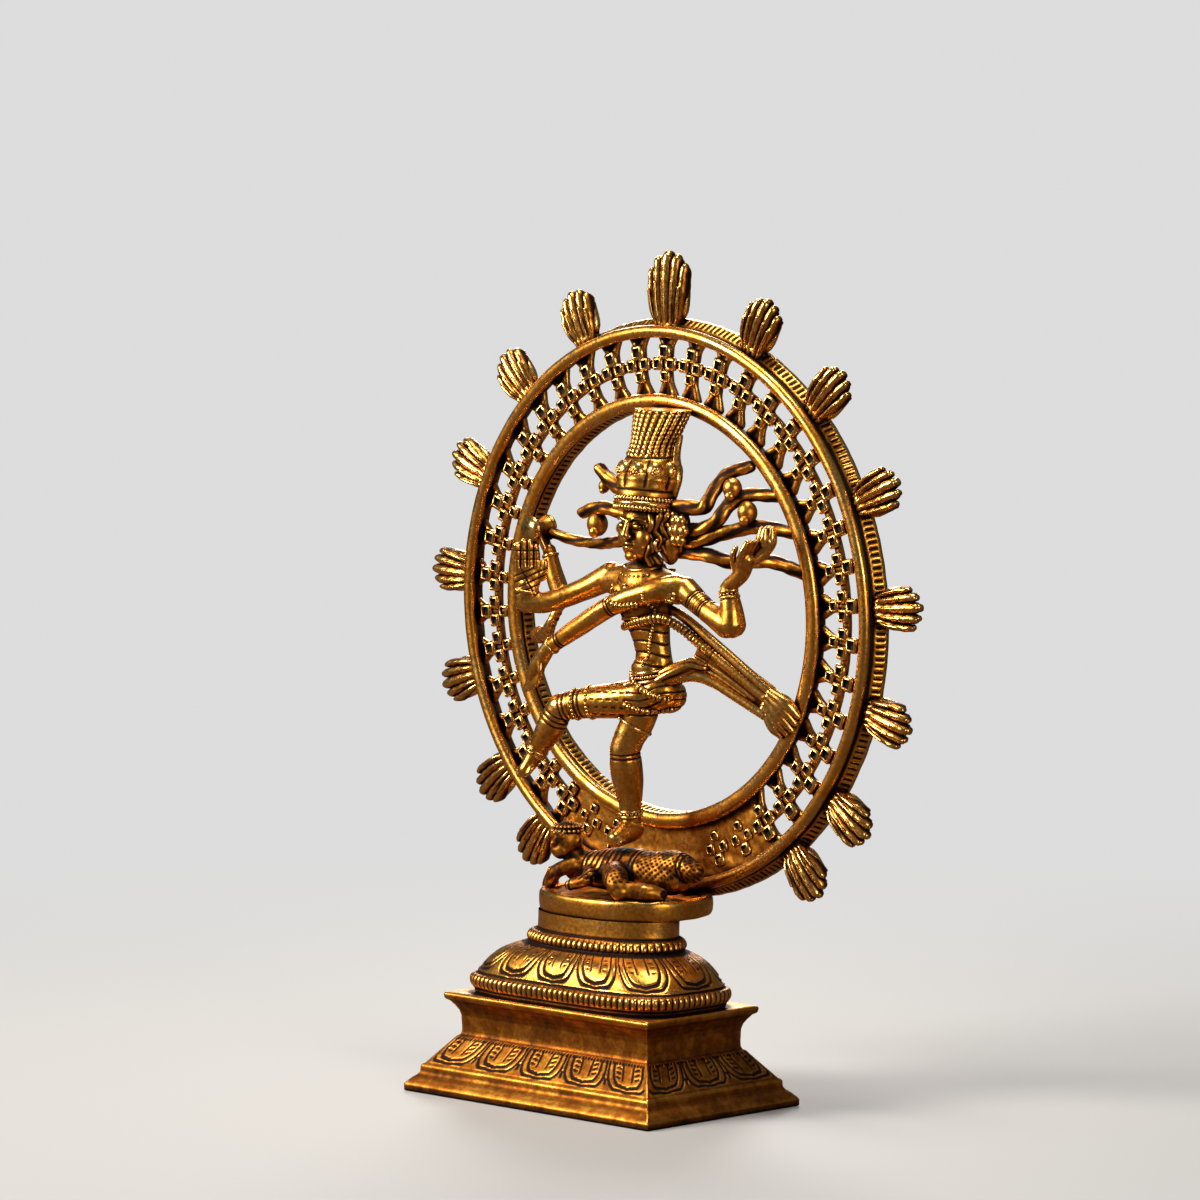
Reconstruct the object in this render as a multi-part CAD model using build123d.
from build123d import *

import math
import os

# Brass statue of the dancing figure in a ring of flames. Millimetres, +Z up, origin under the middle
# of the plinth's foot. +X is the viewer's right and the figure faces -Y.

# Driving dimensions: plinth
FOOT_X, FOOT_Y = 93.8, 58.3
PLINTH_H = 27.2
# Each row is how far the outline steps in from the foot's edge, then the height above the table.
PLINTH_STEPS = [
    (0.0, 0.0), (0.0, 2.0), (3.0, 4.6), (3.3, 6.0), (5.2, 9.4), (8.0, 13.0), (9.3, 14.5),
    (10.8, 15.8), (11.2, 18.5), (10.7, 22.6), (8.3, 24.6), (7.7, 25.2), (7.7, PLINTH_H),
]
WALL = 3.0
DECK = 3.2

# Driving dimensions: lotus pedestal, with half sizes in X and Y, centre in Y, height and squareness
LOTUS_SECTIONS = [
    (37.4, 19.2, -0.3, PLINTH_H, 4.0), (38.6, 20.3, -0.3, 30.9, 4.0), (37.8, 19.5, 0.0, 32.6, 3.8),
    (36.4, 18.6, 0.3, 35.4, 3.4), (31.8, 16.9, 1.2, 39.6, 2.8), (26.2, 14.6, 2.2, 42.0, 2.3),
    (25.9, 14.6, 2.4, 44.0, 2.2), (23.6, 13.2, 3.0, 45.4, 2.1), (23.4, 13.0, 3.2, 50.4, 2.1),
]
LOTUS_TOP = 50.4
LOTUS_CAVITY = [(30.0, 12.5, 0.0, 22.0, 3.0), (30.0, 12.5, 0.0, 33.0, 3.0), (17.5, 8.0, 2.6, 42.5, 2.2),
                (17.5, 8.0, 2.6, 46.8, 2.2)]

# Driving dimensions: dais
DAIS_HALF_X, DAIS_HALF_Y, DAIS_CY = 25.6, 19.3, 9.8
DAIS_TOP = 56.0
DAIS_DISH = 1.4

# Driving dimensions: fixings inside the base
ROD_R, ROD_Y = 2.5, 2.6
ROD_BOTTOM, ROD_TOP = 15.5, 53.2
ROD_CLEARANCE = 0.3
WASHER_R, WASHER_T = 6.0, 0.9
NUT_ACROSS_FLATS, NUT_T = 8.0, 4.0
PIN_R, PIN_X, PIN_Y = 1.0, 9.0, 26.4
PIN_TOP = 63.0

# Driving dimensions: ring of flames
RING_Z = 132.0
RING_FRONT, RING_BACK = 23.4, FOOT_Y / 2
OUTER_R, INNER_R = 75.7, 57.3
INNER_X, INNER_Z = -0.5, RING_Z - 0.6
BEAD_R = 1.5
BAND_FLARE = 3.6
BAYS = 42
OPENWORK_FRONT, OPENWORK_T = 25.0, 2.6
WEB_ANGLE = 33.0
SEAT_STEP = 0.7
FLAME_ANGLES = [23.8, 44.2, 65.3, 86.4, 107.0, 127.4, 142.7]
FLAME_ROOT, FLAME_TIP = 76.5, 93.7
TOP_FLAME_TIP = 98.0
FLAME_DEPTH = 5.6
# Each tongue's place across the flame, its height as a share of the flame's, and its lean in degrees
TONGUES = [(-0.38, 0.76, 9), (-0.19, 0.92, 4), (0.0, 1.0, 0), (0.19, 0.92, -4), (0.38, 0.76, -9)]

# How far a limb's rounded end runs past its last point and how small its tip is, in radii
ROUND_END, ROUND_TIP = 0.8, 0.5
SEAM_SIDE = Vector(0.2, 0.9, 0.4)


def ball(x, y, z, r):
    """A sphere of radius r at a place."""
    return Pos(x, y, z) * Sphere(r)


def egg(x, y, z, rx, ry, rz):
    """An ellipsoid with half sizes rx, ry, rz at a place."""
    return Pos(x, y, z) * scale(Sphere(1), by=(rx, ry, rz))


def radius_at(fractions, points, t):
    """Radius at a fraction of the line's length, straight between the given points."""
    for k in range(len(points) - 1):
        if t <= fractions[k + 1] or k == len(points) - 2:
            part = (t - fractions[k]) / (fractions[k + 1] - fractions[k])
            return points[k][3] + part * (points[k + 1][3] - points[k][3])
    return points[-1][3]


def limb(points, spans=3):
    """Rounded limb lofted along a smooth line through (x, y, z, radius) points."""
    places = [Vector(*point[:3]) for point in points]
    line = Spline(*places) if len(places) > 2 else Line(*places)
    lengths = [(b - a).length for a, b in zip(places[:-1], places[1:])]
    fractions = [sum(lengths[:k]) / sum(lengths) for k in range(len(places))]
    count = spans * (len(points) - 1)
    sections = []
    for k in range(-1, count + 2):
        t = min(max(k / count, 0), 1)
        radius = radius_at(fractions, points, t)
        along = line % t
        centre = line @ t
        if k in (-1, count + 1):
            centre += along * math.copysign(ROUND_END * radius, k)
            radius *= ROUND_TIP
        frame = Plane(origin=centre, x_dir=along.cross(SEAM_SIDE), z_dir=along)
        sections.append(frame * Circle(radius))
    return loft(sections)


def squared_oval(half_x, half_y, centre_y, z, squareness):
    """Closed superellipse face: squareness 2 is an ellipse, and higher values are squarer."""
    points = []
    for k in range(28):
        angle = 2 * math.pi * (k + 0.5) / 28
        c, s = math.cos(angle), math.sin(angle)
        points.append((half_x * math.copysign(abs(c) ** (2 / squareness), c),
                       centre_y + half_y * math.copysign(abs(s) ** (2 / squareness), s)))
    return Pos(0, 0, z) * make_face(Spline(*points, periodic=True))


def stack(sections):
    """Solid lofted straight from each section to the next."""
    shape = None
    for low, high in zip(sections[:-1], sections[1:]):
        layer = loft([squared_oval(*low), squared_oval(*high)], ruled=True)
        shape = layer if shape is None else shape + layer
    return shape


def ellipse_loft(rows):
    """Smooth body through level ellipses given as (x, y, z, half_x, half_y)."""
    return loft([Pos(x, y, z) * Ellipse(half_x, half_y) for x, y, z, half_x, half_y in rows])


def biggest(shape):
    """The largest solid of a shape."""
    return max(shape.solids(), key=lambda s: s.volume)


def boxes_meet(one, other):
    """Whether two shapes' bounding boxes overlap."""
    a, b = one.bounding_box(), other.bounding_box()
    return all(low < high for low, high in (
        (a.min.X, b.max.X), (b.min.X, a.max.X), (a.min.Y, b.max.Y), (b.min.Y, a.max.Y),
        (a.min.Z, b.max.Z), (b.min.Z, a.max.Z)))


def clear_of(shape, *others):
    """The shape with every other piece cut away, kept as its largest solid."""
    shape = biggest(shape)
    for other in others:
        if boxes_meet(shape, other):
            shape = biggest(shape - other)
    return shape


def around_ring(shape, degrees):
    """A shape turned clockwise about the ring's centre, as seen from the front."""
    return shape.rotate(Axis((0, 0, RING_Z), (0, 1, 0)), degrees)


def collar(x, y, z, direction, radius, width=1.6):
    """Flat round collar across a limb, before the limb is cut out of it."""
    frame = Plane(origin=Vector(x, y, z), z_dir=Vector(*direction))
    return frame.location * Cylinder(radius, width)


# Base ------------------------------------------------------------------------------------------

def build_plinth():
    """Hollow rectangular plinth casting with a closed top deck."""
    shape = None
    for (inset, z), (next_inset, next_z) in zip(PLINTH_STEPS[:-1], PLINTH_STEPS[1:]):
        low = Pos(0, 0, z) * Rectangle(FOOT_X - 2 * inset, FOOT_Y - 2 * inset)
        high = Pos(0, 0, next_z) * Rectangle(FOOT_X - 2 * next_inset, FOOT_Y - 2 * next_inset)
        layer = loft([low, high], ruled=True)
        shape = layer if shape is None else shape + layer
    shape = shape.clean()
    foot_cut = [Pos(0, 0, -1) * Rectangle(FOOT_X - 2 * WALL, FOOT_Y - 2 * WALL),
                Pos(0, 0, 12.5) * Rectangle(FOOT_X - 2 * WALL - 22, FOOT_Y - 2 * WALL - 22)]
    neck_size = (FOOT_X - 2 * WALL - 22, FOOT_Y - 2 * WALL - 22)
    shape -= loft(foot_cut, ruled=True)
    shape -= Pos(0, 0, 12) * extrude(Rectangle(*neck_size), PLINTH_H - DECK - 12)
    return shape - rod_hole()


def rod_hole():
    """Clearance hole for the tie rod through the decks."""
    return Pos(0, ROD_Y, PLINTH_H + 8) * Cylinder(ROD_R + ROD_CLEARANCE, 2 * LOTUS_TOP)


def build_lotus_pedestal():
    """Hollow lotus casting: bead rows, petal cushion and oval neck."""
    shape = stack(LOTUS_SECTIONS)
    cavity = stack(LOTUS_CAVITY)
    return biggest(shape - cavity - rod_hole())


def build_dais(ring_parts):
    """Oval platform with a raised edge, cut to cradle the ring."""
    body = stack([
        (DAIS_HALF_X - 1.6, DAIS_HALF_Y - 1.6, DAIS_CY, LOTUS_TOP, 2.3),
        (DAIS_HALF_X, DAIS_HALF_Y, DAIS_CY, LOTUS_TOP + 1.6, 2.3),
        (DAIS_HALF_X, DAIS_HALF_Y, DAIS_CY, DAIS_TOP - 1.2, 2.3),
        (DAIS_HALF_X - 1.0, DAIS_HALF_Y - 1.0, DAIS_CY, DAIS_TOP, 2.3),
    ])
    dish = stack([
        (DAIS_HALF_X - 4.2, DAIS_HALF_Y - 4.2, DAIS_CY, DAIS_TOP - DAIS_DISH, 2.3),
        (DAIS_HALF_X - 2.6, DAIS_HALF_Y - 2.6, DAIS_CY, DAIS_TOP + 0.2, 2.3),
    ])
    body -= dish
    body -= Pos(0, ROD_Y, ROD_TOP / 2) * Cylinder(ROD_R, ROD_TOP)
    return clear_of(body, *ring_parts)


def build_fixings():
    """Tie rod, washer and nut under the plinth's deck."""
    deck_z = PLINTH_H - DECK
    rod = Pos(0, ROD_Y, (ROD_BOTTOM + ROD_TOP) / 2) * Cylinder(ROD_R, ROD_TOP - ROD_BOTTOM)
    washer = Pos(0, ROD_Y, deck_z - WASHER_T / 2) * (Cylinder(WASHER_R, WASHER_T)
                                                     - Cylinder(ROD_R, WASHER_T))
    nut_sketch = RegularPolygon(NUT_ACROSS_FLATS / 2, 6, major_radius=False) - Circle(ROD_R)
    nut = Pos(0, ROD_Y, deck_z - WASHER_T - NUT_T) * extrude(nut_sketch, NUT_T)
    return rod, washer, nut


# Ring of flames --------------------------------------------------------------------------------

def ring_pin_group():
    """Two rivets up through the dais into the foot of the ring."""
    height = PIN_TOP - LOTUS_TOP
    return [Pos(x, PIN_Y, LOTUS_TOP + height / 2) * Cylinder(PIN_R, height) for x in (-PIN_X, PIN_X)]


def rim(radius, flare, centre_x, centre_z):
    """Round front bead with a flared band behind it, turned once about the ring's axis."""
    side = math.copysign(1, flare)
    seat = radius - side * SEAT_STEP
    bead = Pos(radius, RING_FRONT) * Circle(BEAD_R)
    band = make_face(Polyline(
        (seat, RING_FRONT + 0.9), (radius + side * 1.2, RING_FRONT + 0.8),
        (radius + flare * 0.9, RING_BACK - 1.6), (radius + flare, RING_BACK - 0.9),
        (radius + flare, RING_BACK), (radius + flare - side * 2.1, RING_BACK),
        (seat, OPENWORK_FRONT + OPENWORK_T), close=True))
    turned = revolve(bead + band, Axis.Y, 360)
    return Pos(centre_x, 0, centre_z) * turned


def bay_hole(radius, length, width, degrees):
    """Pointed oval opening of the band at a radius, its long way along the radius, seen flat."""
    middle = Rot(0, 0, -degrees) * Pos(0, radius) * Ellipse(width / 2, length / 2)
    return middle


def ring_sector(start, end):
    """Flat annular sector that fills the space between the rims' seats, angles from the top."""
    outer = Circle(OUTER_R - SEAT_STEP)
    inner = Pos(INNER_X, INNER_Z - RING_Z) * Circle(INNER_R + SEAT_STEP)
    points = [(0, 0)]
    steps = 8
    for k in range(steps + 1):
        angle = math.radians(start + (end - start) * k / steps)
        points.append((2 * OUTER_R * math.sin(angle), 2 * OUTER_R * math.cos(angle)))
    return (outer - inner) & make_face(Polyline(*points, close=True))


def stand_up(sketch):
    """Plate from a flat sketch, stood up behind the beads with the sketch's +Y as +Z."""
    plate = extrude(sketch, OPENWORK_T)
    return Pos(0, OPENWORK_FRONT + OPENWORK_T, RING_Z) * Rot(90, 0, 0) * plate


def build_openwork():
    """Pierced band between the rims, in one panel for each side, open over all but the foot."""
    bay = 360 / BAYS
    bays_each_side = int((180 - WEB_ANGLE) / bay)
    panels = []
    for first in (-bays_each_side, 0):
        sketch = ring_sector(first * bay, (first + bays_each_side) * bay)
        holes = []
        for k in range(bays_each_side):
            middle = (first + k + 0.5) * bay
            holes += [bay_hole(70.4, 6.6, 5.0, middle), bay_hole(62.6, 5.4, 4.2, middle)]
        panels.append(biggest(stand_up(sketch - holes)))
    return panels


def build_ring_web(others):
    """Solid web between the rims at the ring's foot."""
    bay = 360 / BAYS
    edge = int((180 - WEB_ANGLE) / bay) * bay
    halves = ring_sector(edge, 180) + ring_sector(180, 360 - edge)
    return clear_of(stand_up(halves), *others)


def flame(root, tip, width, outer_rim):
    """Upright tulip of five tongues on the rim at the top of the ring."""
    height = tip - root
    outline = Pos(0, root + 0.36 * height) * Ellipse(0.40 * width, 0.36 * height)
    half = 0.26 * height
    for place, reach, lean in TONGUES:
        tongue = Rot(0, 0, lean) * Ellipse(0.12 * width, half)
        outline += Pos(place * width, root + reach * height - half) * tongue
    plate = extrude(outline, FLAME_DEPTH)
    plate = Pos(0, RING_BACK, RING_Z) * Rot(90, 0, 0) * plate
    return clear_of(plate, outer_rim)


# Dwarf -----------------------------------------------------------------------------------------

def build_dwarf():
    """Body, head, arm and legs of the dwarf that lies on the dais."""
    body = limb([(-11, 3, 62.0, 4.2), (-6, 4.5, 61.8, 5.4), (3, 7, 62.4, 6.6), (12, 9, 61.8, 6.2),
                 (18, 10, 61.6, 5.2)])
    head = egg(-13.4, 0.4, 70.0, 4.6, 4.6, 5.6)
    arm = limb([(-9.5, -1.4, 62.6, 2.0), (-13.5, -4.6, 61.6, 1.9), (-16.6, -3.6, 57.6, 1.6)])
    legs = limb([(5, -1.0, 62.4, 3.2), (12, -4.6, 60.4, 3.8), (18.5, -1, 58.8, 3.2)])
    thigh = limb([(15, 9, 64.0, 4.0), (21, 10, 64.6, 4.2), (26, 10, 63.4, 3.6)])
    return body, head, arm, legs, thigh


# Figure ----------------------------------------------------------------------------------------

def build_torso():
    """Chest and waist, up to the neck."""
    trunk = ellipse_loft([
        (11.8, 9.0, 117.6, 6.0, 4.8), (11.2, 9.0, 122.5, 5.2, 4.1), (9.8, 9.0, 128.0, 6.2, 4.6),
        (8.4, 9.0, 134.0, 9.2, 5.3), (7.6, 9.3, 139.0, 12.6, 5.3), (7.8, 9.6, 142.6, 10.5, 4.6),
        (8.2, 9.4, 145.0, 4.2, 3.8), (8.3, 9.0, 149.0, 3.4, 3.4)])
    return trunk


def build_hips():
    """Hips with their wrapped cloth."""
    wrapped = ellipse_loft([
        (8.8, 8.2, 104.6, 4.6, 4.0), (10.4, 8.6, 108.6, 7.8, 6.0), (11.8, 8.9, 113.2, 8.4, 6.3),
        (11.9, 9.0, 117.6, 6.4, 5.2)])
    return wrapped


def build_head():
    """Plain rounded head."""
    return egg(8.3, 8.6, 155.4, 7.0, 7.5, 8.6)


def build_crown():
    """Tall crown that leans back and fans out to meet the inner rim."""
    return ellipse_loft([
        (8.2, 9.2, 161.6, 7.6, 7.8), (7.8, 10.2, 166.0, 8.5, 8.3), (6.9, 12.0, 172.5, 9.0, 7.6),
        (6.3, 14.4, 178.0, 7.4, 5.6), (5.8, 18.4, 187.6, 9.6, 5.0)])


LIMBS = {
    "standing_leg": [(8.2, 7.2, 107.0, 4.6), (7.0, 6.6, 102.4, 3.8), (4.6, 5.2, 96.0, 4.6),
                     (4.0, 6.0, 90.0, 4.6), (3.5, 8.0, 82.0, 3.8), (4.2, 8.0, 75.0, 4.6),
                     (4.0, 4.6, 71.2, 3.2)],
    "raised_leg": [(8.0, 6.0, 109.2, 5.0), (-12.8, -2.0, 106.4, 4.0), (-17.4, -3.0, 98.4, 3.9),
                   (-21.5, -3.5, 93.0, 3.0), (-23.5, -5.2, 88.4, 2.3)],
    "front_left_arm": [(21.0, 8.2, 139.4, 3.6), (16.0, 3.4, 138.8, 3.2), (5.0, 0.6, 135.2, 3.0),
                       (-17.0, -3.0, 122.0, 2.2), (-23.2, -3.0, 113.2, 1.9), (-26.0, -3.0, 109.6, 1.3)],
    "front_right_arm": [(-6.0, 9.8, 141.4, 3.6), (-14.5, 6.0, 138.8, 3.0), (-27.2, -2.0, 133.8, 2.7),
                        (-26.6, -3.0, 139.0, 2.3)],
    "rear_right_arm": [(-8.0, 12.4, 140.8, 3.2), (-29.6, 14.6, 133.8, 2.6), (-34.6, 14.4, 147.0, 2.2)],
    "rear_left_arm": [(23.0, 9.2, 139.8, 3.6), (31.0, 9.2, 134.2, 2.8), (39.0, 9.5, 131.0, 3.8)],
    "rear_left_forearm": [(40.4, 9.5, 129.8, 3.4), (39.8, 9.5, 136.0, 3.1), (38.6, 9.5, 141.6, 2.2)],
    "rear_left_hand": [(40.0, 9.5, 142.6, 2.2), (44.6, 9.6, 146.0, 2.4), (46.0, 9.6, 152.4, 2.4)],
    "hair_locks_left": [(-34.0, 15.5, 151.4, 1.3), (-22.8, 16.6, 149.3, 1.3), (-6.0, 13.0, 150.6, 1.5),
                        (4.0, 11.0, 153.0, 1.5)],
}
RIGHT_LOCKS = [
    [(13.5, 11.6, 161.2, 1.9), (24.5, 16.0, 165.2, 1.8), (36.6, 23.6, 173.6, 1.5)],
    [(14.0, 12.0, 157.0, 1.9), (23, 15.0, 158.6, 1.8), (34.5, 19.4, 163.8, 1.7), (47.0, 24.0, 162.6, 1.5)],
    [(14.0, 12.4, 153.0, 1.9), (25, 15.4, 153.0, 1.8), (39.0, 19.6, 156.0, 1.7), (52.6, 24.4, 151.0, 1.5)],
    [(14.0, 12.4, 149.2, 1.8), (30.0, 17.6, 147.8, 1.6), (54.6, 23.8, 144.2, 1.5)],
]
FLOWERS = [(27.0, 15.0, 170.4, 2.6), (36.6, 17.0, 160.8, 2.9), (-12.6, 12.6, 155.2, 2.6),
           (-15.4, 12.4, 160.0, 2.2), (-10.0, 12.0, 168.4, 2.3)]
SASH = [(9.0, 12.4, 130.0, 2.6), (22.9, 14.4, 118.4, 3.4), (42.6, 18.4, 110.6, 3.2)]
TASSEL = [(42.6, 18.4, 110.6, 2.8), (46.5, 18.8, 106.8, 3.2), (50.2, 19.2, 103.0, 2.8)]
COLLARS = [
    ("standing_leg", (6.9, 6.5, 102.0), (0.3, 0.2, 1.0), 4.7),
    ("standing_leg", (3.5, 7.9, 82.6), (0, -0.3, 1.0), 4.7),
    ("raised_leg", (-3.5, 1.6, 107.7), (-1.0, -0.4, -0.13), 5.3),
    ("raised_leg", (-21.0, -3.4, 93.7), (-0.6, -0.1, -0.8), 3.9),
    ("front_left_arm", (4.6, 0.5, 135.0), (-1.0, -0.2, -0.5), 3.8),
    ("front_left_arm", (-15.6, -2.8, 122.8), (-1, 0, -0.6), 3.1),
    ("front_right_arm", (-26.8, -2.7, 137.6), (0.1, -0.2, 1.0), 3.2),
    ("rear_left_arm", (31.2, 9.2, 134.1), (1.0, 0, -0.5), 3.6),
    ("rear_left_arm", (38.7, 9.5, 140.2), (-0.1, 0, 1.0), 3.1),
    ("rear_right_arm", (-34.0, 14.4, 145.4), (-0.3, 0, 1.0), 3.0),
]


def open_hand():
    """Raised open palm with four fingers and a thumb, facing forward."""
    outline = Ellipse(3.3, 3.9)
    for k in range(4):
        outline += Pos(-2.2 + 1.45 * k, 5.4 - 0.5 * abs(k - 1.4)) * Ellipse(0.85, 4.2)
    outline += Pos(3.4, 1.4) * Rot(0, 0, -22) * Ellipse(0.95, 2.8)
    return Pos(-25.0, -1.6, 142.4) * Rot(90, 0, 0) * extrude(outline, 3.0)


def locks_group(strands, obstacles):
    """Separate strands, each cut clear of the obstacles and of the strands before it."""
    made = []
    for strand in strands:
        made.append(clear_of(limb(strand), *obstacles, *made))
    return made


def build_all():
    """Every node of the statue as a dictionary of name to solids."""
    nodes = {}
    pins = ring_pin_group()
    outer_rim = rim(OUTER_R, BAND_FLARE, 0, RING_Z) - pins[0] - pins[1]
    inner_rim = rim(INNER_R, -0.6 * BAND_FLARE, INNER_X, INNER_Z)
    nodes["plinth"] = [build_plinth()]
    nodes["lotus_pedestal"] = [build_lotus_pedestal()]
    nodes["dais"] = [build_dais([outer_rim] + pins)]
    rod, washer, nut = build_fixings()
    nodes["tie_rod"] = [rod]
    nodes["tie_washer"] = [washer]
    nodes["tie_nut"] = [nut]
    nodes["outer_rim"] = [biggest(outer_rim)]
    nodes["inner_rim"] = [biggest(inner_rim)]
    nodes["ring_pins"] = pins
    dais = nodes["dais"][0]
    nodes["openwork"] = build_openwork()
    nodes["ring_web"] = [build_ring_web([dais, *pins])]
    web = nodes["ring_web"][0]

    small = flame(FLAME_ROOT, FLAME_TIP, 12.5, outer_rim)
    for number, angle in enumerate(FLAME_ANGLES, start=1):
        nodes[f"flame_right_{number}"] = [around_ring(small, angle)]
        nodes[f"flame_left_{number}"] = [around_ring(small, -angle)]
    nodes["flame_top"] = [flame(FLAME_ROOT, TOP_FLAME_TIP, 14.5, outer_rim)]

    ring = (outer_rim, inner_rim, web)
    torso = biggest(build_torso())
    hips = clear_of(build_hips(), torso)
    head = clear_of(build_head(), torso)
    nodes["torso"] = [torso]
    nodes["hips"] = [hips]
    nodes["head"] = [head]
    crown = clear_of(build_crown(), head, torso, inner_rim)
    nodes["crown"] = [crown]
    belt = Pos(11.9, 9.0, 117.6) * Rot(0, -8, 0) * extrude(Ellipse(7.4, 6.1), 1.1, both=True)
    nodes["belt"] = [clear_of(belt, torso, hips)]
    headband = Pos(8.2, 9.1, 161.2) * Rot(12, 0, 0) * extrude(Ellipse(8.6, 8.9), 1.6, both=True)
    nodes["headband"] = [clear_of(headband, head, crown)]
    headband = nodes["headband"][0]

    dwarf_body, dwarf_head, dwarf_arm, dwarf_legs, dwarf_thigh = build_dwarf()
    nodes["dwarf_head"] = [clear_of(dwarf_head, dais)]
    nodes["dwarf_body"] = [clear_of(dwarf_body, dais, nodes["dwarf_head"][0], *ring)]
    dwarf_body = nodes["dwarf_body"][0]
    dwarf_thigh = clear_of(dwarf_thigh, dais, dwarf_body, *ring)
    nodes["dwarf_legs"] = [clear_of(dwarf_legs, dais, dwarf_body, dwarf_thigh), dwarf_thigh]
    nodes["dwarf_arm"] = [clear_of(dwarf_arm, dais, dwarf_body, nodes["dwarf_head"][0],
                                   nodes["dwarf_legs"][0])]
    leaf = egg(-24.0, 5.2, 56.4, 1.5, 3.2, 4.6)
    nodes["dais_leaf"] = [clear_of(leaf, dais, nodes["lotus_pedestal"][0])]

    leg = limb(LIMBS["standing_leg"])
    nodes["standing_leg"] = [clear_of(leg, hips, dwarf_body, *nodes["dwarf_legs"], *ring)]
    nodes["raised_leg"] = [clear_of(limb(LIMBS["raised_leg"]), hips, nodes["belt"][0],
                                    nodes["standing_leg"][0])]
    nodes["rear_right_arm"] = [clear_of(limb(LIMBS["rear_right_arm"]), torso, *ring)]
    rear_left = []
    for name in ("rear_left_arm", "rear_left_forearm", "rear_left_hand"):
        rear_left.append(clear_of(limb(LIMBS[name]), torso, *rear_left))
        nodes[name] = [rear_left[-1]]
    nodes["front_left_arm"] = [clear_of(limb(LIMBS["front_left_arm"]), torso, nodes["rear_left_arm"][0])]
    hand = clear_of(open_hand(), torso)
    right = clear_of(limb(LIMBS["front_right_arm"]), torso, nodes["rear_right_arm"][0],
                     nodes["front_left_arm"][0], hand)
    nodes["front_right_arm"] = [right]
    nodes["open_hand"] = [hand]

    drum_axis = Plane(origin=(-37.4, 13.4, 152.4), z_dir=(0, 1, 0))
    drum = drum_axis.location * (Pos(0, 0, -1.8) * Cone(3.6, 2.4, 3.6) + Pos(0, 0, 1.8) * Cone(2.4, 3.6, 3.6))
    nodes["drum"] = [clear_of(drum, nodes["rear_right_arm"][0], *ring)]
    torch = egg(48.6, 15.0, 154.6, 3.6, 3.6, 4.4)
    nodes["hand_flame"] = [clear_of(torch, rear_left[2], *ring)]
    cobra = limb([(-30.0, 14.2, 130.4, 1.4), (-31.8, 13.6, 126.4, 1.5), (-36.0, 15.6, 123.2, 2.2),
                  (-41.0, 18.6, 122.6, 2.5), (-49.0, 23.8, 121.8, 1.8)])
    nodes["arm_cobra"] = [clear_of(cobra, nodes["rear_right_arm"][0], nodes["front_right_arm"][0], *ring)]

    left_flower = egg(20.6, 10.6, 155.0, 2.6, 3.0, 3.8)
    nodes["left_ear_flower"] = [clear_of(left_flower, head, headband)]
    ear_flower = nodes["left_ear_flower"][0]
    face_sides = limb([(14.8, 8.8, 157.5, 1.8), (18.0, 10.2, 156.0, 1.6)])
    left_ear = clear_of(face_sides, head, headband, ear_flower)
    curls = limb([(15.4, 9.2, 150.8, 3.0), (16.4, 9.8, 146.0, 2.8)])
    nodes["neck_curls"] = [clear_of(curls, head, torso, ear_flower, left_ear,
                                    nodes["front_left_arm"][0], nodes["rear_left_arm"][0])]
    ear_side = limb([(2.4, 9.4, 155.8, 1.8), (-1.4, 10.4, 154.8, 1.9)])
    nodes["ears"] = [left_ear, clear_of(ear_side, head, headband)]

    head_parts = (head, torso, headband, crown, ear_flower, *nodes["ears"], nodes["neck_curls"][0])
    hand_parts = (*rear_left, nodes["hand_flame"][0])
    flowers = [ball(*place) for place in FLOWERS]
    right_locks = locks_group(RIGHT_LOCKS, [*head_parts, *hand_parts, *ring])
    nodes["hair_locks_right"] = right_locks
    left_strands = [LIMBS["hair_locks_left"],
                    [(-10.0, 12.0, 168.4, 1.4), (-4.0, 11.4, 165.6, 1.6), (1.5, 11.0, 164.0, 1.6)],
                    [(-15.4, 12.4, 160.0, 1.4), (-7.0, 11.6, 158.4, 1.6), (2.0, 11.0, 157.6, 1.6)]]
    nodes["hair_locks_left"] = locks_group(
        left_strands, [*head_parts, nodes["drum"][0], nodes["rear_right_arm"][0], *flowers[2:]])
    nodes["lock_flowers"] = [clear_of(flower, *head_parts, *right_locks) for flower in flowers]

    sash = clear_of(limb(SASH), torso, hips, nodes["belt"][0], *ring)
    nodes["sash"] = [sash]
    nodes["sash_tassel"] = [clear_of(limb(TASSEL), sash, *ring)]
    knot = limb([(16.5, 9.8, 114.6, 2.8), (20.5, 12.2, 115.6, 2.2), (23.4, 14, 116.4, 1.8)])
    nodes["sash"] = [sash, clear_of(knot, hips, torso, nodes["belt"][0], sash)]

    for group, prefix in (("leg_bands", "leg"), ("arm_bands", "arm")):
        bands = []
        for owner, place, direction, radius in COLLARS:
            if owner.endswith(prefix):
                others = [nodes[name][0] for name in ("standing_leg", "raised_leg", "front_left_arm",
                                                      "front_right_arm", "rear_left_arm", "rear_left_forearm",
                                                      "rear_left_hand", "rear_right_arm", "torso", "hips",
                                                      "sash", "arm_cobra", "drum")]
                bands.append(clear_of(collar(*place, direction, radius), *others))
        nodes[group] = bands
    return nodes


def main():
    """Write one STEP file for each node."""
    os.makedirs("parts", exist_ok=True)
    for name, solids in build_all().items():
        shape = solids[0] if len(solids) == 1 else Compound(children=solids)
        export_step(shape, f"parts/{name}.step")


if __name__ == "__main__":
    main()
